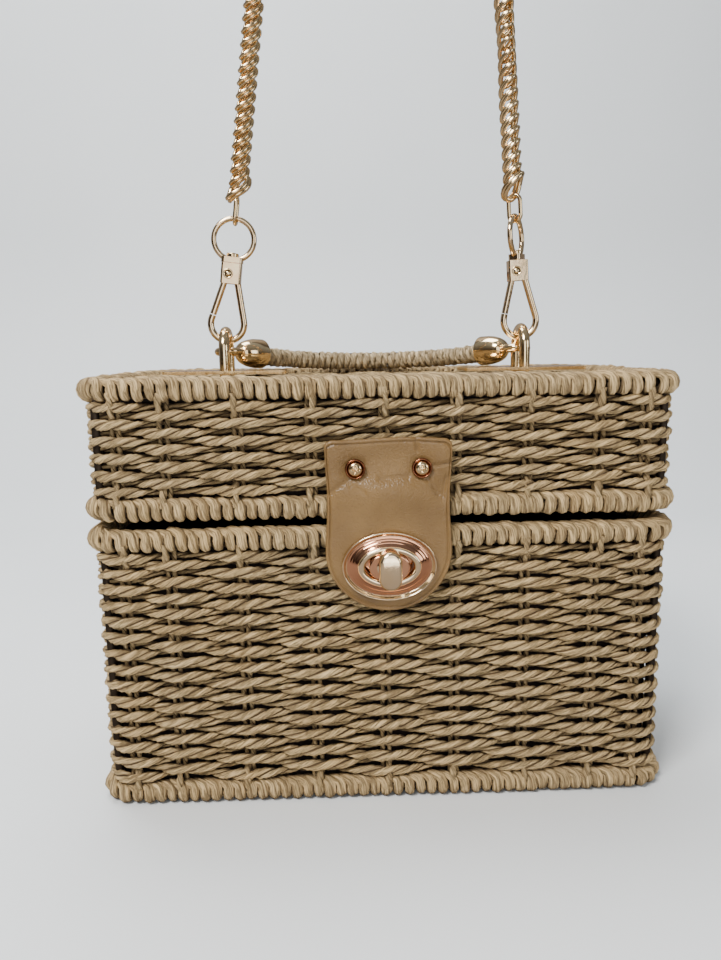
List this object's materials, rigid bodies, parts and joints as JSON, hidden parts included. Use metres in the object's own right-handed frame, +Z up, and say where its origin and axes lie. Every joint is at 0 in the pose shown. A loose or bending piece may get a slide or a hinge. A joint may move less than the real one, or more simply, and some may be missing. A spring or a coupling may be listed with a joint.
{
  "type": "woven rope box bag",
  "caption": "Rectangular woven rope box bag with a hinged lid, a leather flap on a turn lock, a folding rope handle and a chain strap on snap hooks.",
  "frame": {"origin": "on the floor under the middle of the bag's outline, the lock and hinge included", "axes": "+Z up, -Y out of the front with the lock, +X to the right of someone facing the front"},
  "size_m": [0.2, 0.1256, 0.4467],
  "materials": {
    "rope": "two-ply twisted paper rope, matt tan",
    "frame_wire": "painted iron wire",
    "lining": "plain woven cotton, near black",
    "flap_leather": "pebbled tan leather, satin",
    "pale_gold": "pale gold plate, polished",
    "rose_gold": "rose gold plate, polished",
    "plain_steel": "plated steel, satin"
  },
  "bodies": {
    "basket": {"basket_weave": "rope", "basket_frame": "frame_wire", "basket_lining": "lining", "hinge_loops": "rope", "lock_base": "rose_gold", "lock_back_plate": "plain_steel"},
    "toggle": {"lock_toggle": "pale_gold"},
    "lid": {"lid_weave": "rope", "lid_frame": "frame_wire", "lid_lining": "lining", "leather_flap": "flap_leather", "flap_screws": "rose_gold", "flap_cup_washers": "rose_gold", "flap_nuts": "plain_steel", "lock_escutcheon": "pale_gold", "lock_flap_washer": "plain_steel", "handle_plates": "pale_gold", "handle_staples": "pale_gold", "handle_backing_plates": "plain_steel"},
    "handle": {"handle_core": "frame_wire", "handle_wrap": "rope", "handle_end_caps": "pale_gold"},
    "strap": {"strap_chain": "pale_gold", "left_hook": "rose_gold", "left_gate_pin": "pale_gold", "left_gate_spring": "plain_steel", "left_swivel_stud": "pale_gold", "right_hook": "rose_gold", "right_gate_pin": "pale_gold", "right_gate_spring": "plain_steel", "right_swivel_stud": "pale_gold"},
    "left_swivel": {"left_swivel_ring": "rose_gold", "left_end_link": "pale_gold"},
    "right_swivel": {"right_swivel_ring": "rose_gold", "right_end_link": "pale_gold"},
    "left_gate": {"left_gate": "rose_gold"},
    "right_gate": {"right_gate": "rose_gold"}
  },
  "joints": [
    {"name": "lid_hinge", "type": "hinge", "parent": "basket", "child": "lid", "pos_m": [0, 0.05633, 0.1037], "axis": [-1, 0, 0], "range_deg": [0, 105], "deforming": ["leather_flap", "lock_escutcheon", "lock_flap_washer"]},
    {"name": "toggle_turn", "type": "hinge", "parent": "basket", "child": "toggle", "pos_m": [0.001, -0.04947, 0.085], "axis": [0, 1, 0], "range_deg": [0, 90]},
    {"name": "handle_swing", "type": "hinge", "parent": "lid", "child": "handle", "pos_m": [0, 0.00553, 0.1547], "axis": [1, 0, 0], "range_deg": [0, 40]},
    {"name": "strap_swing", "type": "hinge", "parent": "lid", "child": "strap", "pos_m": [0, 0.00553, 0.1584], "axis": [1, 0, 0], "range_deg": [-20, 75]},
    {"name": "left_gate_turn", "type": "hinge", "parent": "strap", "child": "left_gate", "pos_m": [-0.05451, 0.00553, 0.18304], "axis": [0, -1, 0], "range_deg": [0, 25], "stiffness_Nm_per_rad": 0.01},
    {"name": "right_gate_turn", "type": "hinge", "parent": "strap", "child": "right_gate", "pos_m": [0.05392, 0.00553, 0.18298], "axis": [0, -1, 0], "range_deg": [0, 25], "stiffness_Nm_per_rad": 0.01},
    {"name": "left_swivel_turn", "type": "hinge", "parent": "strap", "child": "left_swivel", "pos_m": [-0.05214, 0.00553, 0.19554], "axis": [0.1167, 0, 0.9932], "continuous": true},
    {"name": "right_swivel_turn", "type": "hinge", "parent": "strap", "child": "right_swivel", "pos_m": [0.05396, 0.00553, 0.19571], "axis": [-0.068, 0, 0.9977], "continuous": true}
  ]
}
